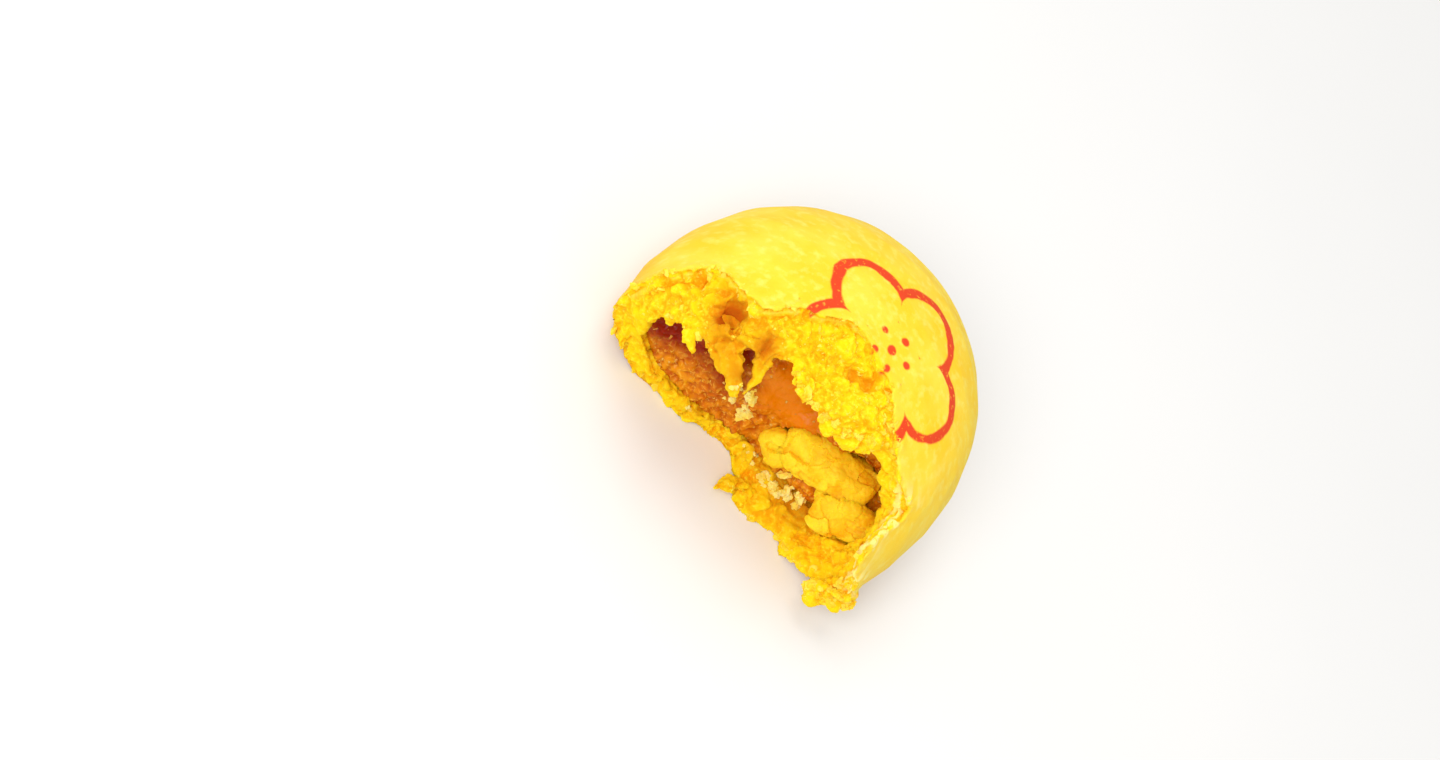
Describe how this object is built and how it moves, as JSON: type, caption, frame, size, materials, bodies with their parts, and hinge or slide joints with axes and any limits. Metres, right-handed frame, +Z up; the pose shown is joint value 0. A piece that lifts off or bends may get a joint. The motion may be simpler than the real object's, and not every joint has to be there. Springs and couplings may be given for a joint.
{
  "type": "pineapple custard pastry",
  "caption": "Torn half of a small domed baked pastry: thick crumbly crust, open hollow, amber fruit filling and pieces of yellow custard.",
  "frame": {"origin": "middle of the bounding box, at the level of the flat base", "axes": "+X along the long way of the torn mouth, -Y out of the mouth, +Z up from the base to the stamped crown"},
  "size_m": [0.0524, 0.043, 0.0345],
  "materials": {
    "baked_crust": "matte baked dough, golden on the low sides and crumbly where torn",
    "pineapple_jam": "moist, glossy and slightly see-through, with grains of fruit",
    "custard": "soft moist custard, broken"
  },
  "bodies": {
    "root": {"crust": "baked_crust", "pineapple_filling": "pineapple_jam", "custard_slab": "custard", "custard_lump_low": "custard", "custard_lump_left": "custard"}
  },
  "joints": []
}
